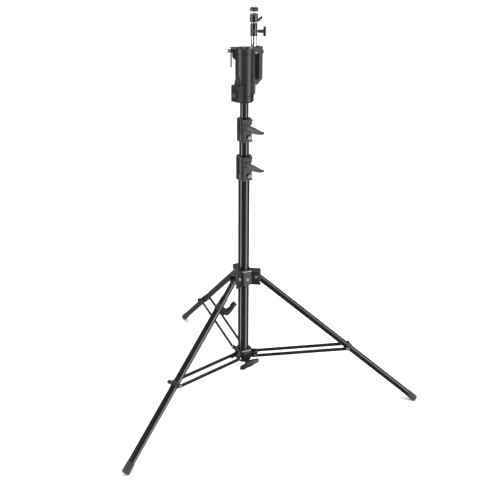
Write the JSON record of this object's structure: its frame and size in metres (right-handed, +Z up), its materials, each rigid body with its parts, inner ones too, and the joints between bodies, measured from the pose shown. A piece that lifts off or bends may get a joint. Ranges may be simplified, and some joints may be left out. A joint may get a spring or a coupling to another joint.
{
  "type": "lighting stand",
  "caption": "Black folding lighting stand with braced tripod base, telescoping column with lever collars, junior socket head, flip-up pin and small ball head.",
  "frame": {"origin": "on the floor, on the column's axis", "axes": "+Z up along the column, +X along the right leg"},
  "size_m": [0.8737, 1.0047, 1.249],
  "materials": {
    "black_anodised": "gloss",
    "black_plastic": "satin",
    "black_steel": "satin",
    "black_tube": "gloss",
    "bright_plate": "satin",
    "cast_black": "satin",
    "chrome": "polished",
    "nylon": "matte",
    "rubber": "matte"
  },
  "bodies": {
    "base": {"base_tube": "black_tube", "base_plug": "nylon", "hub": "cast_black", "hub_bolt": "chrome", "hub_plate": "bright_plate", "hinge_pins": "chrome", "lower_collar": "cast_black", "lower_bush": "nylon", "lower_bolts": "chrome"},
    "lower_lever": {"lower_lever": "cast_black"},
    "riser_1": {"mid_tube": "black_tube", "mid_guide": "nylon", "upper_collar": "cast_black", "upper_bush": "nylon", "upper_bolts": "chrome"},
    "upper_lever": {"upper_lever": "cast_black"},
    "riser_2": {"top_tube": "black_tube", "top_guide": "nylon", "head_casting": "cast_black", "clamp_bolt": "chrome", "pivot_bolt": "chrome"},
    "lock_screw": {"lock_screw": "chrome", "lock_lever": "cast_black"},
    "baby_pin": {"baby_pin": "chrome"},
    "receiver": {"receiver": "black_anodised", "receiver_stud": "chrome"},
    "t_knob": {"knob_screw": "chrome", "t_knob": "black_plastic"},
    "ball_housing": {"ball_housing": "black_anodised"},
    "ball_lever": {"ball_lever": "black_anodised"},
    "ball_stem": {"ball_stem": "chrome"},
    "mount_disc": {"mount_disc": "black_anodised", "disc_pad": "rubber"},
    "brace_collar": {"brace_collar": "cast_black", "brace_plate": "bright_plate", "brace_pins": "chrome"},
    "brace_lever": {"brace_lever": "cast_black"},
    "right_leg": {"right_leg": "black_tube", "right_bracket": "cast_black", "right_foot": "rubber"},
    "rear_leg": {"rear_leg": "black_tube", "rear_bracket": "cast_black", "rear_foot": "rubber"},
    "level_leg": {"level_inner_tube": "black_tube", "level_bracket": "cast_black"},
    "level_slide": {"level_outer_tube": "black_tube", "level_clamp": "cast_black", "level_bolt": "chrome", "level_foot": "rubber"},
    "level_lever": {"level_lever": "cast_black"},
    "right_brace": {"right_brace": "black_steel", "right_brace_nut": "chrome", "right_brace_bolt": "black_plastic"},
    "rear_brace": {"rear_brace": "black_steel", "rear_brace_nut": "chrome", "rear_brace_bolt": "black_plastic"},
    "level_brace": {"level_brace": "black_steel", "level_brace_nut": "chrome", "level_brace_bolt": "black_plastic"}
  },
  "joints": [
    {"name": "fold", "type": "slide", "parent": "base", "child": "brace_collar", "axis": [0, 0, 1], "range_m": [0, 0.19276]},
    {"name": "right_leg_hinge", "type": "hinge", "parent": "base", "child": "right_leg", "pos_m": [0.042, 0, 0.4258], "axis": [0, 1, 0], "range_deg": [0, 27.66]},
    {"name": "right_brace_hinge", "type": "hinge", "parent": "brace_collar", "child": "right_brace", "pos_m": [0.042, 0, 0.144], "axis": [0, 1, 0], "range_deg": [0, 67.62]},
    {"name": "rear_leg_hinge", "type": "hinge", "parent": "base", "child": "rear_leg", "pos_m": [-0.021, 0.03637, 0.4258], "axis": [-0.866, -0.5, 0], "range_deg": [0, 27.66]},
    {"name": "rear_brace_hinge", "type": "hinge", "parent": "brace_collar", "child": "rear_brace", "pos_m": [-0.021, 0.03637, 0.144], "axis": [-0.866, -0.5, 0], "range_deg": [0, 67.62]},
    {"name": "level_leg_hinge", "type": "hinge", "parent": "base", "child": "level_leg", "pos_m": [-0.021, -0.03637, 0.4258], "axis": [0.866, -0.5, 0], "range_deg": [0, 27.66]},
    {"name": "level_brace_hinge", "type": "hinge", "parent": "brace_collar", "child": "level_brace", "pos_m": [-0.021, -0.03637, 0.144], "axis": [0.866, -0.5, 0], "range_deg": [0, 67.62]},
    {"name": "brace_lock", "type": "hinge", "parent": "brace_collar", "child": "brace_lever", "pos_m": [0.025, -0.0433, 0.128], "axis": [0.5, -0.866, 0], "range_deg": [-90, 45]},
    {"name": "levelling", "type": "slide", "parent": "level_leg", "child": "level_slide", "axis": [0.3921, 0.6792, 0.6205], "range_m": [-0.15, 0.03]},
    {"name": "level_clamp_lever", "type": "hinge", "parent": "level_slide", "child": "level_lever", "pos_m": [-0.04583, -0.11018, 0.345], "axis": [-0.866, 0.5, 0], "range_deg": [0, 45]},
    {"name": "lower_clamp_lever", "type": "hinge", "parent": "base", "child": "lower_lever", "pos_m": [0.00396, -0.02485, 0.794], "axis": [0, 0, -1], "range_deg": [0, 100]},
    {"name": "riser_1_slide", "type": "slide", "parent": "base", "child": "riser_1", "axis": [0, 0, 1], "range_m": [-0.04, 0.49]},
    {"name": "upper_clamp_lever", "type": "hinge", "parent": "riser_1", "child": "upper_lever", "pos_m": [0.00271, -0.02269, 0.908], "axis": [0, 0, -1], "range_deg": [0, 100]},
    {"name": "riser_2_slide", "type": "slide", "parent": "riser_1", "child": "riser_2", "axis": [0, 0, 1], "range_m": [-0.04, 0.58]},
    {"name": "socket_lock", "type": "hinge", "parent": "riser_2", "child": "lock_screw", "pos_m": [-0.02984, -0.00314, 1.128], "axis": [-0.9945, -0.1045, 0], "continuous": true},
    {"name": "pin_flip", "type": "hinge", "parent": "riser_2", "child": "baby_pin", "pos_m": [0.02687, 0.02687, 1.118], "axis": [-0.7071, -0.7071, 0], "range_deg": [0, 110]},
    {"name": "receiver_turn", "type": "hinge", "parent": "baby_pin", "child": "receiver", "pos_m": [0.02334, 0.03041, 1.18], "axis": [0, 0, 1], "continuous": true},
    {"name": "receiver_knob", "type": "hinge", "parent": "receiver", "child": "t_knob", "pos_m": [0.02334, 0.03041, 1.177], "axis": [0.9945, 0.1045, 0], "continuous": true},
    {"name": "ball_pan", "type": "hinge", "parent": "receiver", "child": "ball_housing", "pos_m": [0.02334, 0.03041, 1.205], "axis": [0, 0, 1], "continuous": true},
    {"name": "ball_lock", "type": "hinge", "parent": "ball_housing", "child": "ball_lever", "pos_m": [0.02334, 0.03041, 1.209], "axis": [0.9945, 0.1045, 0], "range_deg": [-90, 90]},
    {"name": "ball_tilt", "type": "hinge", "parent": "ball_housing", "child": "ball_stem", "pos_m": [0.02334, 0.03041, 1.2205], "axis": [0.1045, -0.9945, 0], "range_deg": [-20, 90]},
    {"name": "disc_turn", "type": "hinge", "parent": "ball_stem", "child": "mount_disc", "pos_m": [0.02334, 0.03041, 1.24], "axis": [0, 0, 1], "continuous": true}
  ],
  "couplings": [
    {"joint": "right_leg_hinge", "follows": "fold", "rad_per_m": 2.5033},
    {"joint": "right_brace_hinge", "follows": "fold", "rad_per_m": 6.1214},
    {"joint": "rear_leg_hinge", "follows": "fold", "rad_per_m": 2.5033},
    {"joint": "rear_brace_hinge", "follows": "fold", "rad_per_m": 6.1214},
    {"joint": "level_leg_hinge", "follows": "fold", "rad_per_m": 2.5033},
    {"joint": "level_brace_hinge", "follows": "fold", "rad_per_m": 6.1214}
  ]
}
